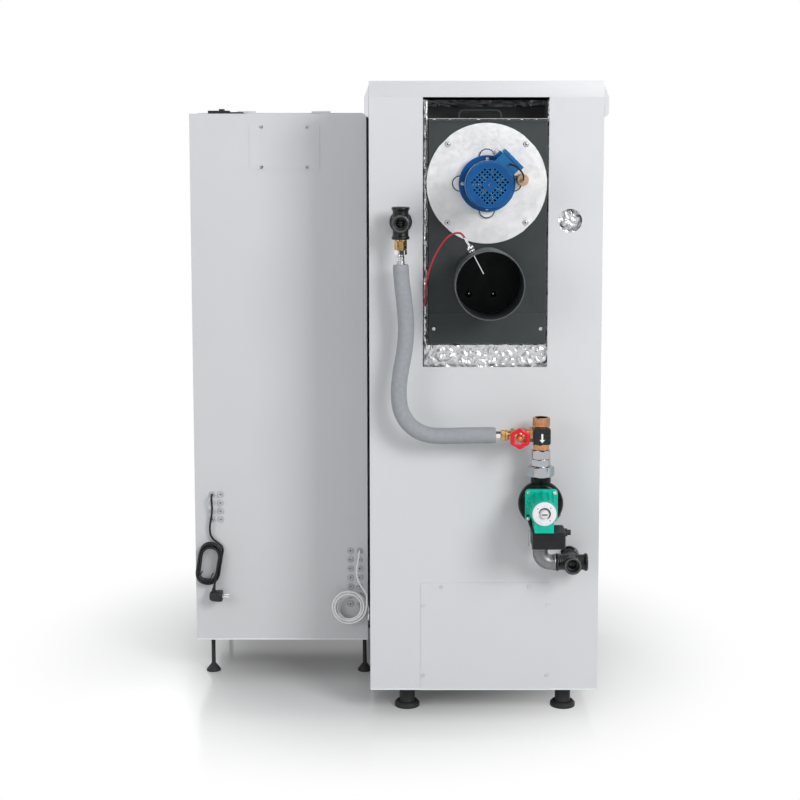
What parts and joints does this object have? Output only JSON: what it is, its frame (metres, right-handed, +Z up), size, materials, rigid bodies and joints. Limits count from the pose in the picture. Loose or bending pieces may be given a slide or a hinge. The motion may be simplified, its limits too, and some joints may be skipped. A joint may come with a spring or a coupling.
{
  "type": "pellet boiler",
  "caption": "Floor-standing pellet boiler with a hopper cabinet beside it; flue fan, pump, valves and cables on the rear.",
  "frame": {"origin": "on the floor, at the middle of the bounding box in plan", "axes": "+Z up; +Y towards the rear, the side the picture shows, with the pipework and fan; -Y towards the doors; +X towards the hopper cabinet, which is on the left in the picture"},
  "size_m": [1.025, 0.985, 1.538],
  "materials": {
    "ash_drawer": "matte black enamel",
    "auger_gearmotor": "dark grey paint",
    "auger_screw": "machined steel",
    "auger_tube": "galvanised",
    "base_frames": "black paint",
    "brass_adaptors": "machined",
    "burner_pot": "rough cast",
    "cable_grommets": "satin grey",
    "control_dial": "satin black",
    "control_panel": "fine texture dark grey",
    "fan_cowl": "satin blue paint",
    "fan_plate": "raw sheet, cloudy",
    "fan_rotor": "plain steel",
    "flue_box": "dark grey-green paint",
    "flue_probe": "polished steel",
    "flue_stub": "dark satin paint",
    "foil_insulation": "crumpled foil",
    "front_frame": "dark grey paint",
    "gate_valve": "cast and machined",
    "hopper_bin": "galvanised sheet",
    "hopper_lid": "light grey powder coat",
    "hopper_shell": "light grey powder coat",
    "hose_foam": "grey foam sleeve",
    "levelling_feet": "zinc plated",
    "lid_switch": "black moulding",
    "lower_door": "light grey powder coat",
    "lower_handle": "satin black",
    "mains_hank": "black sheath",
    "mains_lead": "black sheath",
    "mains_plug": "black moulding",
    "motor_body": "satin blue paint",
    "motor_cable": "black sheath",
    "motor_capacitor": "beige moulding",
    "motor_terminal_box": "satin blue paint",
    "pipe_unions": "zinc plated",
    "power_button": "gloss black",
    "probe_cable": "red silicone sheath",
    "pump_face": "satin white",
    "pump_housing": "black paint over casting",
    "pump_motor": "satin green paint",
    "pump_selector": "light grey knob",
    "pump_terminal_box": "black moulding",
    "rear_panel": "light grey powder coat",
    "return_cross": "black malleable iron",
    "return_elbow": "galvanised casting",
    "screws_and_bolts": "zinc plated",
    "sensor_coil": "white sheath",
    "sensor_lead": "white sheath",
    "sensor_sleeve": "polished steel",
    "service_covers": "powder coat",
    "side_panels": "light grey powder coat",
    "steel_hose": "plated fittings on a braided hose",
    "supply_cross": "black malleable iron",
    "thermal_valve": "copper-coloured brass",
    "thermal_valve_cover": "black moulding",
    "top_lid": "light grey powder coat",
    "upper_door": "light grey powder coat",
    "upper_handle": "satin black",
    "valve_handwheel": "red enamel",
    "vessel": "black heat-resistant paint"
  },
  "bodies": {
    "boiler": {"ash_drawer": "ash_drawer", "auger_gearmotor": "auger_gearmotor", "auger_tube": "auger_tube", "base_frames": "base_frames", "brass_adaptors": "brass_adaptors", "burner_pot": "burner_pot", "cable_grommets": "cable_grommets", "control_panel": "control_panel", "fan_cowl": "fan_cowl", "fan_plate": "fan_plate", "flue_box": "flue_box", "flue_probe": "flue_probe", "flue_stub": "flue_stub", "foil_insulation": "foil_insulation", "front_frame": "front_frame", "gate_valve": "gate_valve", "hopper_bin": "hopper_bin", "hopper_shell": "hopper_shell", "hose_foam": "hose_foam", "levelling_feet": "levelling_feet", "lid_switch": "lid_switch", "mains_hank": "mains_hank", "mains_lead": "mains_lead", "mains_plug": "mains_plug", "motor_body": "motor_body", "motor_cable": "motor_cable", "motor_capacitor": "motor_capacitor", "motor_terminal_box": "motor_terminal_box", "pipe_unions": "pipe_unions", "probe_cable": "probe_cable", "pump_face": "pump_face", "pump_housing": "pump_housing", "pump_motor": "pump_motor", "pump_terminal_box": "pump_terminal_box", "rear_panel": "rear_panel", "return_cross": "return_cross", "return_elbow": "return_elbow", "screws_and_bolts": "screws_and_bolts", "sensor_coil": "sensor_coil", "sensor_lead": "sensor_lead", "sensor_sleeve": "sensor_sleeve", "service_covers": "service_covers", "side_panels": "side_panels", "steel_hose": "steel_hose", "supply_cross": "supply_cross", "thermal_valve": "thermal_valve", "thermal_valve_cover": "thermal_valve_cover", "vessel": "vessel"},
    "lid": {"top_lid": "top_lid"},
    "upper_door": {"upper_door": "upper_door"},
    "lower_door": {"lower_door": "lower_door"},
    "upper_handle": {"upper_handle": "upper_handle"},
    "lower_handle": {"lower_handle": "lower_handle"},
    "fan_rotor": {"fan_rotor": "fan_rotor"},
    "auger_screw": {"auger_screw": "auger_screw"},
    "valve_handwheel": {"valve_handwheel": "valve_handwheel"},
    "pump_selector": {"pump_selector": "pump_selector"},
    "control_dial": {"control_dial": "control_dial"},
    "power_button": {"power_button": "power_button"},
    "hopper_lid": {"hopper_lid": "hopper_lid"}
  },
  "joints": [
    {"name": "lid_lift", "type": "slide", "parent": "boiler", "child": "lid", "axis": [0, 0, 1], "range_m": [0, 0.12]},
    {"name": "upper_door_swing", "type": "hinge", "parent": "boiler", "child": "upper_door", "pos_m": [-0.5015, -0.4545, 1.048], "axis": [0, 0, -1], "range_deg": [0, 110]},
    {"name": "lower_door_swing", "type": "hinge", "parent": "boiler", "child": "lower_door", "pos_m": [-0.5015, -0.4545, 0.421], "axis": [0, 0, -1], "range_deg": [0, 110]},
    {"name": "upper_handle_turn", "type": "hinge", "parent": "upper_door", "child": "upper_handle", "pos_m": [0.0065, -0.4475, 1.048], "axis": [0, 1, 0], "range_deg": [0, 90]},
    {"name": "lower_handle_turn", "type": "hinge", "parent": "lower_door", "child": "lower_handle", "pos_m": [0.0065, -0.4475, 0.421], "axis": [0, 1, 0], "range_deg": [0, 90]},
    {"name": "fan_spin", "type": "hinge", "parent": "boiler", "child": "fan_rotor", "pos_m": [-0.2255, 0.3, 1.298], "axis": [0, 1, 0], "continuous": true},
    {"name": "auger_spin", "type": "hinge", "parent": "boiler", "child": "auger_screw", "pos_m": [0.13, -0.17, 0.3], "axis": [1, 0, 0], "continuous": true},
    {"name": "handwheel_turn", "type": "hinge", "parent": "boiler", "child": "valve_handwheel", "pos_m": [-0.3015, 0.4125, 0.706], "axis": [0, 1, 0], "range_deg": [0, 1440]},
    {"name": "selector_turn", "type": "hinge", "parent": "boiler", "child": "pump_selector", "pos_m": [-0.3545, 0.4895, 0.543], "axis": [0, 1, 0], "range_deg": [0, 120]},
    {"name": "dial_turn", "type": "hinge", "parent": "boiler", "child": "control_dial", "pos_m": [-0.1145, -0.4475, 1.411], "axis": [0, 1, 0], "continuous": true},
    {"name": "button_press", "type": "slide", "parent": "boiler", "child": "power_button", "axis": [0, 1, 0], "range_m": [0, 0.003], "stiffness_N_per_m": 600},
    {"name": "hopper_lid_swing", "type": "hinge", "parent": "boiler", "child": "hopper_lid", "pos_m": [0.2895, 0.0015, 1.471], "axis": [-1, 0, 0], "range_deg": [0, 100]}
  ]
}
